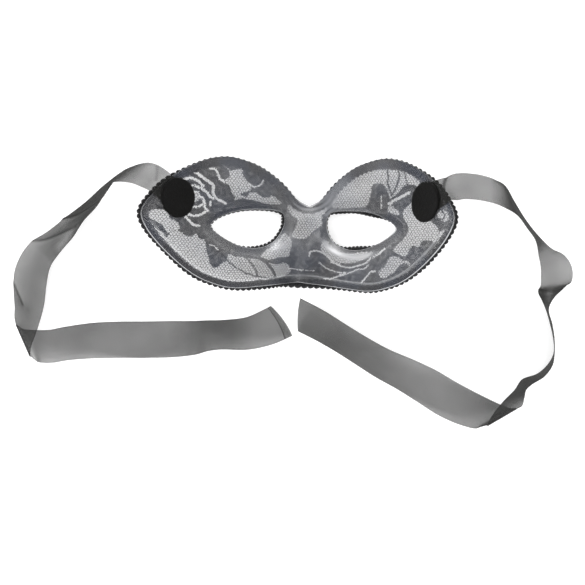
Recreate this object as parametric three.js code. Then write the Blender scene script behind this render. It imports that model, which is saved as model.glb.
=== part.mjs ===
// Lace eye mask, lying face down on its front with the inside up and its two tie ribbons spread.
// Millimetres, +Z up, left is -X. The mask is drawn about its own middle, with the eye line on
// y = 0. Heights are above the surface that it lies on. At the end the whole model moves
// sideways, so that the origin is in the middle of its footprint.
import * as THREE from 'three';
import { mergeVertices } from 'three/addons/utils/BufferGeometryUtils.js';

// Driving dimensions
const plasticThickness = 0.7;
const laceThickness = 0.4;
const braidThickness = 1.6;
const feltThickness = 1.1;
const ribbonThickness = 0.4;
const layerGap = 0.3;
const braidGap = 0.6;
const feltGap = 0.5;
const outerBraidWidth = 6.4;
const eyeBraidWidth = 4.4;
const braidBevel = 0.9;
const outerBraidInset = 2.4;
const eyeBraidInset = 1.6;
const discRadius = 11.5;
const discCentre = [71.2, 13.5];
const ribbonWidth = 21.5;
const foldRadius = 1.2;
const footprintMiddle = [-10.2, -36];

// Half of the plastic's outline, from the notch over the brow and the tip to the nose
const halfOutline = [
  [0, 12], [6.2, 15.6], [14.2, 24.6], [26, 34], [34, 37.5], [45, 39.6], [57.5, 36.8],
  [72.5, 26.8], [81.5, 15.6], [86.6, 4], [83.6, -5.6], [72, -19.8], [58.5, -30.5],
  [45.5, -35.3], [38, -36.2], [22, -34.5], [0, -31.3],
];
const eyeOutline = [
  [12.3, 1.5], [13.6, 8], [17.5, 9.6], [27, 10.1], [37, 9.1], [45.5, 6], [51.8, 1.6], [53, -1],
  [50.5, -4], [43.5, -8.8], [36, -12], [28.5, -12.9], [21, -11], [15.6, -6.5],
];
const eyeMiddle = { x: 31, y: -0.5 };

// Form of the face, as heights of the plastic's middle over the surface below
const frontLevel = 5;
const sideCurve = 0.000175;
const sidePower = 2.8;
const crownLine = 24;
const browBend = 0.01;
const cheekBend = 0.0033;
const nose = { height: 10.8, halfWidth: 7, spread: 4, start: 16, end: -30 };
const bridge = { size: 6, x: 0, y: 9, reachX: 11, reachY: 10 };
const brow = { size: -4.2, x: 31, y: 21, reachX: 17, reachY: 9 };
const socket = { size: 3, x: 32, y: -1, reachX: 24, reachY: 12 };
const rimWidth = 4.8;
const rimRise = 2.2;

// The notch and the nose are trimmed a little askew, to this side of the middle line
const notchShift = 2.3;
const noseShift = -3.8;
const shiftReach = 12;

// Where the outline's braid shows more past the edge, and where it is glued further in
const braidPastNose = { size: 2.3, x: 0, y: -32, reachX: 16, reachY: 14 };
const braidPastTemple = { size: 0.8, x: 76, y: 22, reachX: 12, reachY: 10 };
const braidUnderBrow = { size: 0.9, x: 38, y: 38, reachX: 24, reachY: 16 };

// Mesh steps
const outlineSteps = 36;
const notchCrowding = 1.2;
const seamSteps = 9;
const outerRows = 4;
const eyeRingSteps = 120;
const outerBraidSteps = 120;
const eyeBraidSteps = 50;
const discSteps = 24;

function smoothCurve(points, closed) {
  const nodes = points.map(([x, y]) => new THREE.Vector3(x, y, 0));
  return new THREE.CatmullRomCurve3(nodes, closed, 'centripetal');
}

const halfCurve = smoothCurve(halfOutline, false);
const otherHalf = halfOutline.slice(1, -1).reverse().map(([x, y]) => [-x, y]);
const outlineCurve = smoothCurve([...halfOutline, ...otherHalf], true);
const eyeCurve = smoothCurve(eyeOutline, true);
const eyeRing = eyeCurve.getSpacedPoints(eyeRingSteps);
const notchY = halfOutline[0][1];
const noseEdgeY = halfOutline[halfOutline.length - 1][1];

function distanceToEye(x, y) {
  const from = new THREE.Vector3(x, y, 0);
  const nearest = new THREE.Vector3();
  let distance = Infinity;
  for (let i = 1; i < eyeRing.length; i += 1) {
    new THREE.Line3(eyeRing[i - 1], eyeRing[i]).closestPointToPoint(from, true, nearest);
    distance = Math.min(distance, nearest.distanceTo(from));
  }
  return distance;
}

function swell(x, y, form) {
  const acrossX = (x - form.x) / form.reachX;
  const acrossY = (y - form.y) / form.reachY;
  return form.size * Math.exp(-(acrossX ** 2) - acrossY ** 2);
}

// The inside of the mask looks up, so its nose and brows are low and its temples are high
function height(x, y) {
  const side = Math.abs(x);
  const bend = y > crownLine ? browBend : cheekBend;
  const bowl = sideCurve * side ** sidePower + bend * (y - crownLine) ** 2;
  const ramp = THREE.MathUtils.smoothstep(-y, -nose.start, -nose.end);
  const noseReach = nose.halfWidth + nose.spread * ramp;
  const noseForm = nose.height * ramp * Math.exp(-((x / noseReach) ** 2));
  const rim = rimRise * Math.max(0, 1 - distanceToEye(side, y) / rimWidth);
  const swells = swell(x, y, bridge) + swell(side, y, brow) + swell(side, y, socket);
  return frontLevel + bowl - noseForm + swells + rim;
}

function onSheet(x, y) {
  const share = (Math.min(y, notchY) - noseEdgeY) / (notchY - noseEdgeY);
  const shift = THREE.MathUtils.lerp(noseShift, notchShift, share);
  return new THREE.Vector3(x + shift * Math.exp(-((x / shiftReach) ** 2)), y, height(x, y));
}

// A point off the sheet. A positive offset is on the inside, towards the wearer.
function offSheet(x, y, offset) {
  const step = 0.2;
  const alongX = onSheet(x + step, y).sub(onSheet(x - step, y));
  const alongY = onSheet(x, y + step).sub(onSheet(x, y - step));
  return onSheet(x, y).addScaledVector(alongX.cross(alongY).normalize(), offset);
}

function addQuad(faces, a, b, c, d) {
  faces.push([a, b, c], [a, c, d]);
}

// One closed mesh from its triangles, turned to face outwards by the volume they enclose
function solidFromFaces(faces) {
  const volume = faces.reduce((sum, [a, b, c]) => sum + a.dot(b.clone().cross(c)), 0);
  const outward = volume > 0 ? faces : faces.map(([a, b, c]) => [a, c, b]);
  const triangles = new THREE.BufferGeometry().setFromPoints(outward.flat());
  const solid = mergeVertices(triangles);
  solid.computeVertexNormals();
  return solid;
}

// Where the line from the middle of the eye to an outer point crosses the edge of the hole
function eyeCrossing(outer) {
  const reachX = outer.x - eyeMiddle.x;
  const reachY = outer.y - eyeMiddle.y;
  for (let i = 1; i < eyeRing.length; i += 1) {
    const a = eyeRing[i - 1];
    const edgeX = eyeRing[i].x - a.x;
    const edgeY = eyeRing[i].y - a.y;
    const turn = reachX * edgeY - reachY * edgeX;
    const alongRay = ((a.x - eyeMiddle.x) * edgeY - (a.y - eyeMiddle.y) * edgeX) / turn;
    const alongEdge = ((a.x - eyeMiddle.x) * reachY - (a.y - eyeMiddle.y) * reachX) / turn;
    if (alongRay > 0 && alongEdge >= 0 && alongEdge <= 1) {
      return new THREE.Vector3(eyeMiddle.x, eyeMiddle.y, 0).lerp(outer, alongRay);
    }
  }
  return null;
}

// Rows of points from the eye hole to the outline or to the middle line, all round the eye
function halfGrid() {
  const outers = Array.from({ length: outlineSteps + 1 }, (_, i) =>
    halfCurve.getPointAt((i / outlineSteps) ** notchCrowding));
  for (let i = 1; i < seamSteps; i += 1) {
    const y = THREE.MathUtils.lerp(noseEdgeY, notchY, i / seamSteps);
    outers.push(new THREE.Vector3(0, y, 0));
  }
  return outers.map((outer) => {
    const inner = eyeCrossing(outer);
    const rimShare = rimWidth / inner.distanceTo(outer);
    const stops = Array.from({ length: outerRows + 1 }, (_, k) =>
      THREE.MathUtils.lerp(rimShare, 1, k / outerRows));
    return [0, ...stops].map((stop) => inner.clone().lerp(outer, stop));
  });
}

// A sheet over the whole mask with its two eye holes, between two offsets
function maskSheet(lower, upper) {
  const grid = halfGrid();
  const faces = [];
  [1, -1].forEach((hand) => {
    const [above, below] = [upper, lower].map((offset) =>
      grid.map((row) => row.map(({ x, y }) => offSheet(hand * x, y, offset))));
    const quad = (a, b, c, d) => {
      if (hand > 0) addQuad(faces, a, b, c, d);
      else addQuad(faces, d, c, b, a);
    };
    grid.forEach((row, i) => {
      const j = (i + 1) % grid.length;
      const last = row.length - 1;
      for (let k = 0; k < last; k += 1) {
        quad(above[i][k], above[j][k], above[j][k + 1], above[i][k + 1]);
        quad(below[i][k], below[i][k + 1], below[j][k + 1], below[j][k]);
      }
      quad(above[i][0], below[i][0], below[j][0], above[j][0]);
      if (i < outlineSteps) {
        quad(above[i][last], above[j][last], below[j][last], below[i][last]);
      }
    });
  });
  return solidFromFaces(faces);
}

// Rings of corners joined into a skin, and closed into a loop or with an end cap at each end.
// Both sides are split along the same diagonals, so that a twisted strip keeps its thickness.
function skin(rings, closed, capFaces) {
  const faces = [];
  const spans = closed ? rings.length : rings.length - 1;
  for (let i = 0; i < spans; i += 1) {
    const ring = rings[i];
    const next = rings[(i + 1) % rings.length];
    ring.forEach((corner, k) => {
      const m = (k + 1) % ring.length;
      if (k < ring.length / 2) addQuad(faces, corner, ring[m], next[m], next[k]);
      else addQuad(faces, ring[m], next[m], next[k], corner);
    });
  }
  if (!closed) {
    capFaces.forEach(([a, b, c, d]) => {
      const [first, last] = [rings[0], rings[rings.length - 1]];
      addQuad(faces, first[d], first[c], first[b], first[a]);
      addQuad(faces, last[a], last[b], last[c], last[d]);
    });
  }
  return solidFromFaces(faces);
}

// A flat band of braid glued on the front, following the sheet under it
function braidAlong(curve, steps, inset, hand, width) {
  const half = width / 2;
  const flat = half - braidBevel;
  const thick = braidThickness / 2;
  const middle = -plasticThickness / 2 - layerGap - laceThickness - braidGap - thick;
  const section = [
    [-half, 0], [-flat, -thick], [0, -thick], [flat, -thick],
    [half, 0], [flat, thick], [0, thick], [-flat, thick],
  ];
  const rings = Array.from({ length: steps }, (_, i) => {
    const point = curve.getPointAt(i / steps);
    const along = curve.getTangentAt(i / steps);
    const outX = -along.y * hand;
    const outY = along.x;
    const x = hand * point.x - outX * inset(point);
    const y = point.y - outY * inset(point);
    const stretch = onSheet(x + outX, y + outY).distanceTo(onSheet(x, y));
    return section.map(([across, up]) => {
      const shift = across / stretch;
      return offSheet(x + outX * shift, y + outY * shift, middle + up);
    });
  });
  return skin(rings, true);
}

function outerInset({ x, y }) {
  const side = Math.abs(x);
  const past = swell(x, y, braidPastNose) + swell(side, y, braidPastTemple);
  return outerBraidInset - past + swell(side, y, braidUnderBrow);
}

function feltDisc(hand) {
  const base = plasticThickness / 2 + layerGap + ribbonThickness + feltGap;
  const [cx, cy] = discCentre;
  const squeeze = 2 / onSheet(cx + 1, cy).distanceTo(onSheet(cx - 1, cy));
  const disc = (radius, offset) =>
    Array.from({ length: discSteps }, (_, i) => {
      const angle = (2 * Math.PI * i) / discSteps;
      const x = cx + radius * Math.cos(angle) * squeeze;
      return offSheet(hand * x, cy + radius * Math.sin(angle), offset);
    });
  const [top, under] = [base + feltThickness, base].map((offset) => ({
    middle: offSheet(hand * cx, cy, offset),
    inner: disc(discRadius / 2, offset),
    outer: disc(discRadius, offset),
  }));
  const faces = [];
  for (let i = 0; i < discSteps; i += 1) {
    const j = (i + 1) % discSteps;
    faces.push([top.middle, top.inner[i], top.inner[j]]);
    faces.push([under.middle, under.inner[j], under.inner[i]]);
    addQuad(faces, top.inner[i], top.outer[i], top.outer[j], top.inner[j]);
    addQuad(faces, under.inner[j], under.outer[j], under.outer[i], under.inner[i]);
    addQuad(faces, top.outer[i], under.outer[i], under.outer[j], top.outer[j]);
  }
  return solidFromFaces(faces);
}

// A ribbon starts under its disc, runs over the mask's edge, and lies as it fell. Each row of
// its route is x, y, z of the outer selvedge and x, y, z of the inner one.
const gluedStart = [[1.5, 11], [0, 0.5], [-1.5, -9.5]];
const gluedShares = [0, 0.4, 0.8, 1.1];
const leftLie = {
  hand: -1,
  edgeCrossing: [[74.5, 26.5], [78.75, 20.75], [83, 15]],
  route: [
    [-81.5, 31.5, 33.7, -88, 18, 49.2], [-88, 33.5, 33, -94, 20, 49],
    [-101.5, 30.5, 27.5, -106, 19.5, 45], [-107, 27.5, 24.3, -109.5, 15, 41.5],
    [-118, 20.5, 17.8, -116.5, 6.5, 34], [-129, 12, 12, -124.5, -1.5, 28],
    [-140.5, 4, 8, -132.5, -10, 22], [-152.5, -5, 6, -141.5, -18.5, 18.5],
    [-164.5, -14, 7.5, -148.5, -26.5, 14], [-172, -27.5, 8.5, -152, -36, 9.5],
    [-173, -41, 6.5, -153, -49, 10], [-173, -50, 4.5, -156, -63.5, 11],
    [-173, -56.5, 3, -160.5, -73.5, 8.4],
  ],
  crease: [-172.6, -60.5, 0.3, -162, -79.6, 3.8],
  tail: [
    [-168.5, -62.5, 0.3, -157.5, -81.5, 4.5], [-161, -63.5, 0.3, -153, -81.5, 8],
    [-152, -63.5, 0.6, -146, -81, 9], [-143.5, -61.5, 0.6, -139.5, -80.5, 8],
    [-127, -58.5, 0.3, -124.5, -79, 5], [-111, -57, 0.3, -109.5, -78.5, 2],
    [-95, -56.5, 0.3, -93.5, -78, 0.6], [-79.5, -56, 0.5, -77.5, -77, 3.5],
    [-64.5, -55.5, 0.7, -62, -75, 9], [-49, -55, 0.9, -47, -72, 12],
    [-34, -53, 0.8, -31, -71, 9.5], [-25, -48.5, 0.6, -17.5, -67.5, 5],
    [-20.5, -45.5, 1, -7, -63, 1.5],
  ],
};
const rightLie = {
  hand: 1,
  edgeCrossing: [[74.5, 25], [79.25, 18.75], [84, 12.5]],
  route: [
    [80.5, 27.5, 35, 88, 13.5, 49.5], [86, 30, 33.5, 92, 14, 48],
    [97.5, 30, 30, 100.5, 14, 44.5], [108.5, 27.5, 26, 109, 12.5, 41.5],
    [113.5, 25, 23, 113, 11, 39.5], [119, 16.5, 17.3, 120.5, 7, 36.5],
    [125, 7.5, 12.5, 126, 0.5, 32.5], [132.5, -1.5, 9, 131, -6.5, 30],
    [141, -9.5, 9, 133, -15, 28], [146.5, -12, 10, 134, -19, 26],
    [150.5, -16.5, 11, 134.5, -22.5, 24], [152.5, -22, 11, 134.5, -26.5, 22.5],
    [152, -28, 9, 134.5, -30.5, 22], [148, -31.5, 6, 133.5, -34.5, 21.5],
    [142.5, -37, 2, 135.5, -39, 22], [140.3, -43, 0.8, 138.3, -44.5, 22.3],
    [142.3, -52, 0.4, 141, -52.5, 22], [143.6, -60, 0.4, 142.2, -60, 22],
    [143.9, -68, 0.4, 142.2, -67.5, 22], [142.9, -75, 0.4, 140.5, -73.8, 22],
    [138.5, -81.5, 0.4, 134, -79.6, 21.6], [131.5, -86.3, 0.4, 125.5, -83.2, 21],
    [128.3, -89.5, 0.4, 121.8, -89, 20.4], [127.4, -94, 0.4, 115.5, -96, 17.8],
    [126, -98.8, 2.6, 109, -105.2, 13.8],
  ],
  crease: [123.4, -100.4, 0.3, 107.2, -110.2, 10.6],
  tail: [
    [120, -100, 0.3, 103.2, -111, 10], [115.5, -98.8, 0.5, 100.5, -112, 9],
    [102, -92.8, 0.8, 90, -109.8, 7], [89.2, -86.7, 2.5, 78.5, -104.9, 4],
    [76.9, -80.1, 5, 66.9, -98, 1.2], [64, -74.5, 9, 55, -91, 0.6],
    [51, -69, 12, 42.5, -85, 0.5], [38.5, -62.5, 13.5, 30.5, -78, 0.4],
    [26, -55.5, 13.5, 19, -71, 0.4], [13, -48, 12, 8, -65, 0.4],
    [-0.5, -41.5, 10, -2.5, -60, 0.3],
  ],
};

// The ribbon turns half round the crease, from the upper layer to the lower
function foldRows({ hand, crease }) {
  const [outerX, outerY, outerZ, innerX, innerY, innerZ] = crease;
  const away = new THREE.Vector3(outerY - innerY, innerX - outerX, 0);
  away.normalize().multiplyScalar(hand);
  return [45, 90, 135].map((degrees) => {
    const angle = THREE.MathUtils.degToRad(degrees);
    const out = foldRadius * (Math.sin(angle) - 1);
    const up = foldRadius * (1 + Math.cos(angle));
    return [
      outerX + away.x * out, outerY + away.y * out, outerZ + up,
      innerX + away.x * out, innerY + away.y * out, innerZ + up,
    ];
  });
}

// A row of a route becomes its two selvedges, the ribbon's width apart, and their middle
function routePoints([outerX, outerY, outerZ, innerX, innerY, innerZ]) {
  const outer = new THREE.Vector3(outerX, outerY, outerZ);
  const inner = new THREE.Vector3(innerX, innerY, innerZ);
  const middle = outer.clone().lerp(inner, 0.5);
  const half = inner.sub(outer).setLength(ribbonWidth / 2);
  return [middle.clone().sub(half), middle, middle.clone().add(half)];
}

function ribbon(lie) {
  const offset = plasticThickness / 2 + layerGap + ribbonThickness / 2;
  const glued = gluedShares.map((share) =>
    gluedStart.map(([startX, startY], i) => {
      const x = THREE.MathUtils.lerp(discCentre[0] + startX, lie.edgeCrossing[i][0], share);
      const y = THREE.MathUtils.lerp(discCentre[1] + startY, lie.edgeCrossing[i][1], share);
      return offSheet(lie.hand * x, y, offset);
    }));
  const rows = [...glued, ...[...lie.route, ...foldRows(lie), ...lie.tail].map(routePoints)];
  const lines = [0, 1, 2].map((k) =>
    new THREE.CatmullRomCurve3(rows.map((row) => row[k]), false, 'centripetal'));
  const steps = (rows.length - 1) * 2;
  const stations = Array.from({ length: steps + 1 }, (_, i) =>
    lines.map((line) => line.getPoint(i / steps)));
  const rings = stations.map((station, i) => {
    const before = stations[Math.max(i - 1, 0)][1];
    const after = stations[Math.min(i + 1, steps)][1];
    const across = station[2].clone().sub(station[0]);
    const normal = after.clone().sub(before).cross(across).setLength(ribbonThickness / 2);
    const upper = station.map((point) => point.clone().add(normal));
    const lower = station.map((point) => point.clone().sub(normal));
    return [...upper, ...lower.reverse()];
  });
  return skin(rings, false, [[0, 1, 4, 5], [1, 2, 3, 4]]);
}

const clearPlastic = new THREE.MeshStandardMaterial({
  color: 0xb4b4b9, roughness: 0.18, metalness: 0, transparent: true, opacity: 0.45,
});
const blackLace = new THREE.MeshStandardMaterial({ color: 0x17171a, roughness: 0.8, metalness: 0 });
const blackBraid = new THREE.MeshStandardMaterial({ color: 0x101012, roughness: 0.6, metalness: 0 });
const blackFelt = new THREE.MeshStandardMaterial({ color: 0x1c1b1b, roughness: 0.95, metalness: 0 });
const greyOrganza = new THREE.MeshStandardMaterial({
  color: 0x3a3a3a, roughness: 0.5, metalness: 0, transparent: true, opacity: 0.6,
});

const mask = new THREE.Group();
mask.position.set(-footprintMiddle[0], -footprintMiddle[1], 0);

function addPiece(name, geometry, material) {
  const piece = new THREE.Mesh(geometry, material);
  piece.name = name;
  mask.add(piece);
}

const plasticFront = -plasticThickness / 2;
const laceBack = plasticFront - layerGap;
addPiece('shell', maskSheet(plasticFront, -plasticFront), clearPlastic);
addPiece('lace', maskSheet(laceBack - laceThickness, laceBack), blackLace);
addPiece('braid_outer',
  braidAlong(outlineCurve, outerBraidSteps, outerInset, 1, outerBraidWidth), blackBraid);
[['left', leftLie], ['right', rightLie]].forEach(([side, lie]) => {
  const { hand } = lie;
  addPiece(`braid_eye_${side}`,
    braidAlong(eyeCurve, eyeBraidSteps, () => -eyeBraidInset, hand, eyeBraidWidth), blackBraid);
  addPiece(`felt_disc_${side}`, feltDisc(hand), blackFelt);
  addPiece(`ribbon_${side}`, ribbon(lie), greyOrganza);
});

export default mask;
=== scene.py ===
import math

import bpy
import numpy as np
from mathutils import Matrix, Vector


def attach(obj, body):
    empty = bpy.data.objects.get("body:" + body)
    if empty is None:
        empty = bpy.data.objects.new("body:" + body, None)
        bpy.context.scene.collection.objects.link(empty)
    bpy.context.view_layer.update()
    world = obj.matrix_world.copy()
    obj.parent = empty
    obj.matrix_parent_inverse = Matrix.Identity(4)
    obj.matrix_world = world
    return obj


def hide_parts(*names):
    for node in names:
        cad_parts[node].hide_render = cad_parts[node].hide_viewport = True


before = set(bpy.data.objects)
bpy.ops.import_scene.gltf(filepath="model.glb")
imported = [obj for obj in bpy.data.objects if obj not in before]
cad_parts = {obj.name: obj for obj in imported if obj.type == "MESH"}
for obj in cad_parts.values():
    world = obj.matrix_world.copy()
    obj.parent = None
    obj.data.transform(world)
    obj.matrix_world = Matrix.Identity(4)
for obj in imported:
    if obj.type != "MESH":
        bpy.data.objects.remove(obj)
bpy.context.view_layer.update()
bpy.ops.object.select_all(action="DESELECT")

# Camera and table. The mask lies on a white light table between two soft lamps, and the
# camera looks down on it, a little from the right.
MM = 0.001
looked_at = Vector((3.2, -1.4, 3.3)) * MM
camera_distance = 0.9
camera_roll = math.radians(-1.7)
camera_to_right = math.radians(7.5)
camera_to_nose = 0.035
to_camera = Vector((math.tan(camera_to_right), -math.tan(camera_to_nose), 1)).normalized()
level_up = (Vector((0, 1, 0)) - to_camera * to_camera.y).normalized()
level_right = level_up.cross(to_camera)
camera_right = level_right * math.cos(camera_roll) - level_up * math.sin(camera_roll)
camera_up = level_right * math.sin(camera_roll) + level_up * math.cos(camera_roll)
bpy.ops.object.camera_add()
camera = bpy.context.object
camera.matrix_world = Matrix.Translation(looked_at + to_camera * camera_distance) @ Matrix(
    (camera_right, camera_up, to_camera)
).transposed().to_4x4()
camera.data.sensor_width = 36
camera.data.lens = 95.5
bpy.context.scene.camera = camera
bpy.context.scene.view_settings.view_transform = "Standard"


class Output:
    """What a node gives out. Plain arithmetic on it adds Math nodes beside that node."""

    def __init__(self, socket):
        self.socket = socket
        self.tree = socket.id_data

    def __add__(self, other):
        return calculate("ADD", self, other)

    def __sub__(self, other):
        return calculate("SUBTRACT", self, other)

    def __rsub__(self, other):
        return calculate("SUBTRACT", other, self)

    def __mul__(self, other):
        return calculate("MULTIPLY", self, other)

    def __rtruediv__(self, other):
        return calculate("DIVIDE", other, self)

    def __pow__(self, other):
        return calculate("POWER", self, other)


def calculate(operation, *values):
    """One step of arithmetic on outputs and plain numbers."""
    tree = next(value.tree for value in values if isinstance(value, Output))
    return put(tree, "ShaderNodeMath", *values, operation=operation)


def feed(node, *numbered, **named):
    """Fills a node's inputs, by number or by name with _ for a space: a value, or an output to link."""
    named = {name.replace("_", " "): value for name, value in named.items()}
    for key, value in [*enumerate(numbered), *named.items()]:
        socket = node.inputs[key]
        if isinstance(value, Output):
            value.tree.links.new(value.socket, socket)
        else:
            socket.default_value = (*value, 1) if socket.type == "RGBA" else value


def put(tree, kind, *numbered, give=0, **named):
    """Adds a node. Names with a capital are its inputs, the others its settings. Gives one output."""
    node = tree.nodes.new(kind)
    for name, value in named.items():
        if name[0].islower():
            setattr(node, name, value)
    feed(node, *numbered, **{name: value for name, value in named.items() if name[0].isupper()})
    return Output(node.outputs[give])


def parts(place):
    """The x, y and z of a place."""
    node = place.tree.nodes.new("ShaderNodeSeparateXYZ")
    feed(node, place)
    return [Output(socket) for socket in node.outputs]


def remap(value, low, high, to_low=0, to_high=1, **settings):
    """Takes the range from low to high to the other range, and holds its ends."""
    settings |= {"From_Min": low, "From_Max": high, "To_Min": to_low, "To_Max": to_high}
    return put(value.tree, "ShaderNodeMapRange", Value=value, **settings)


def new_material(name, **values):
    """A material with these values on its shader. Gives its nodes and its shader too."""
    material = bpy.data.materials.new(name)
    material.use_nodes = True
    shader = material.node_tree.nodes["Principled BSDF"]
    feed(shader, **values)
    return material, material.node_tree, shader


bpy.ops.mesh.primitive_plane_add(size=8)
table = bpy.context.object
table.name = "table"
table_white = new_material(
    "table_white", Base_Color=(0.8, 0.8, 0.8), Roughness=0.9, Emission_Color=(1, 1, 1), Emission_Strength=0.4
)[0]
table.data.materials.append(table_white)

sky = bpy.data.worlds.new("white_sky")
sky.use_nodes = True
height = parts(put(sky.node_tree, "ShaderNodeTexCoord", give="Generated"))[2]
overhead = remap(height, 0.55, 0.9, 0.5, 1.9, interpolation_type="SMOOTHSTEP")
feed(sky.node_tree.nodes["Background"], Color=(1, 1, 1), Strength=overhead)
bpy.context.scene.world = sky
lamp_distance = 1.1
lamp_rise = 0.72
for azimuth, energy in ((-158, 4), (-32, 3)):
    aim = Vector((math.cos(math.radians(azimuth)), math.sin(math.radians(azimuth)), lamp_rise)).normalized()
    bpy.ops.object.light_add(type="AREA", location=looked_at + aim * lamp_distance)
    lamp = bpy.context.object
    lamp.rotation_euler = aim.to_track_quat("Z", "Y").to_euler()
    lamp.data.shape = "SQUARE"
    lamp.data.size = 0.4
    lamp.data.energy = energy


# Pressed plastic. One sheet of clear, faintly milky plastic, formed over a mould of a face
# and cut out along its outline and its two eye holes. The cut edge is frosted white, with a
# painted glint that is brighter along the lower edge.
plastic_thickness = 0.7
plastic_ior = 1.55
half_outline = [
    (0, 12), (6.2, 15.6), (14.2, 24.6), (26, 34), (34, 37.5), (45, 39.6), (57.5, 36.8),
    (72.5, 26.8), (81.5, 15.6), (86.6, 4), (83.6, -5.6), (72, -19.8), (58.5, -30.5),
    (45.5, -35.3), (38, -36.2), (22, -34.5), (0, -31.3),
]
eye_outline = [
    (12.3, 1.5), (13.6, 8), (17.5, 9.6), (27, 10.1), (37, 9.1), (45.5, 6), (51.8, 1.6),
    (53, -1), (50.5, -4), (43.5, -8.8), (36, -12), (28.5, -12.9), (21, -11), (15.6, -6.5),
]
eye_middle = np.array([31, -0.5])
mask_place = np.array([10.2, 36, 0])
bowl_floor = 5
bowl_middle_y = 24
rim_width = 4.8
rim_rise = 2.2
notch_y = half_outline[0][1]
nose_edge_y = half_outline[-1][1]
notch_askew = 2.3
nose_edge_askew = -3.8
askew_reach = 12
nose_depth = 10.8


def curve_through(points, closed=False, per_span=16):
    """A smooth line through the points, as a row of closely spaced points."""
    p = np.array(points, float)
    before, after = (p[-1], p[:2]) if closed else (2 * p[0] - p[1], [2 * p[-1] - p[-2]])
    p = np.vstack([before, p, after])
    p0, p1, p2, p3 = (p[k : len(p) - 3 + k] for k in range(4))
    gaps = [np.linalg.norm(b - a, axis=1) ** 0.5 for a, b in ((p0, p1), (p1, p2), (p2, p3))]
    d0, d1, d2 = (gap[:, None] for gap in gaps)
    leave = d1 * ((p1 - p0) / d0 - (p2 - p0) / (d0 + d1) + (p2 - p1) / d1)
    reach = d1 * ((p2 - p1) / d1 - (p3 - p1) / (d1 + d2) + (p3 - p2) / d2)
    s = np.linspace(0, 1, per_span, endpoint=False)[None, :, None]
    spans = (
        (2 * s**3 - 3 * s**2 + 1) * p1[:, None]
        + (s**3 - 2 * s**2 + s) * leave[:, None]
        + (3 * s**2 - 2 * s**3) * p2[:, None]
        + (s**3 - s**2) * reach[:, None]
    )
    line = spans.reshape(-1, p.shape[1])
    return np.vstack([line, line[:1] if closed else p2[-1:]])


def run_along(line):
    """How far along a line each of its points lies."""
    return np.r_[0, np.cumsum(np.linalg.norm(np.diff(line, axis=0), axis=1))]


def between(stop, stops, rows):
    """Rows between those that are given at the stops."""
    return np.stack([np.interp(stop, stops, axis) for axis in rows.T], axis=1)


def points_at(line, shares):
    """Points of a line at these shares of its length."""
    run = run_along(line)
    return between(shares * run[-1], run, line)


def nearest_on(x, y, line):
    """The distance from each point to a line, and the nearest point on it."""
    best = np.full(len(x), np.inf)
    near = np.zeros((len(x), 2))
    for a, b in zip(line[:-1], line[1:]):
        step = b - a
        share = np.clip(((x - a[0]) * step[0] + (y - a[1]) * step[1]) / max(step @ step, 1e-12), 0, 1)
        spot = a + share[:, None] * step
        distance = np.hypot(x - spot[:, 0], y - spot[:, 1])
        closer = distance < best
        best[closer] = distance[closer]
        near[closer] = spot[closer]
    return best, near


def is_inside(x, y, line):
    """True for each point inside a closed line."""
    inside = np.zeros(len(x), bool)
    for a, b in zip(line[:-1], line[1:]):
        if a[1] != b[1]:
            crosses = (a[1] > y) != (b[1] > y)
            inside ^= crosses & (x < (b[0] - a[0]) * (y - a[1]) / (b[1] - a[1]) + a[0])
    return inside


half_line = curve_through(half_outline)
outline = curve_through(half_outline + [(-x, y) for x, y in half_outline[-2:0:-1]], closed=True)
eye_line = curve_through(eye_outline, closed=True)
eye_ring = points_at(eye_line, np.linspace(0, 1, 121))


def ease(low, high, value):
    """0 below low, 1 above high, and smooth between."""
    t = np.clip((value - low) / (high - low), 0, 1)
    return t * t * (3 - 2 * t)


def fade(gap, at, reach):
    """1 where the gap is just this, and softly less on both sides."""
    return np.exp(-(((gap - at) / reach) ** 2))


def swell(x, y, size, at_x, at_y, reach_x, reach_y):
    """A soft bump or hollow."""
    return size * np.exp(-(((x - at_x) / reach_x) ** 2) - ((y - at_y) / reach_y) ** 2)


def swells(x, y, *rows):
    """Several soft bumps and hollows together."""
    return sum(swell(x, y, *row) for row in rows)


def unit(rows):
    """Each row made one long."""
    return rows / np.maximum(np.linalg.norm(rows, axis=1), 1e-9)[:, None]


def inside_height(x, y):
    """Height of the plastic above the table. The nose and the brows are low, the temples high."""
    side = np.abs(x)
    bend = np.where(y > bowl_middle_y, 0.01, 0.0033)
    bowl = bowl_floor + 0.000175 * side**2.8 + bend * (y - bowl_middle_y) ** 2
    ramp = ease(-16, 30, -y)
    nose = nose_depth * ramp * fade(x, 0, 7 + 4 * ramp)
    bridge = swell(x, y, 6, 0, 9, 11, 10)
    brow_and_eye = swells(side, y, (-4.2, 31, 21, 17, 9), (3, 32, -1, 24, 12))
    rim = rim_rise * np.maximum(0, 1 - nearest_on(side, y, eye_ring)[0] / rim_width)
    return bowl - nose + bridge + brow_and_eye + rim


def on_sheet(x, y):
    """Flat pattern points, in millimetres, set on the formed sheet. Its middle is a little askew."""
    share = (np.minimum(y, notch_y) - nose_edge_y) / (notch_y - nose_edge_y)
    shift = nose_edge_askew + (notch_askew - nose_edge_askew) * share
    return np.stack([x + shift * fade(x, 0, askew_reach), y, inside_height(x, y)], axis=1)


def sheet_normal(x, y):
    """The direction off the sheet, towards the wearer."""
    step = 0.2
    along_x = on_sheet(x + step, y) - on_sheet(x - step, y)
    along_y = on_sheet(x, y + step) - on_sheet(x, y - step)
    return unit(np.cross(along_x, along_y))


def off_sheet(x, y, offset):
    """Points off the sheet, in millimetres of the mask's own frame."""
    return on_sheet(x, y) + sheet_normal(x, y) * np.reshape(offset, (-1, 1))


def mesh_points(piece):
    """The piece's vertices as rows of x, y, z."""
    points = np.zeros(len(piece.data.vertices) * 3)
    piece.data.vertices.foreach_get("co", points)
    return points.reshape(-1, 3)


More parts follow.
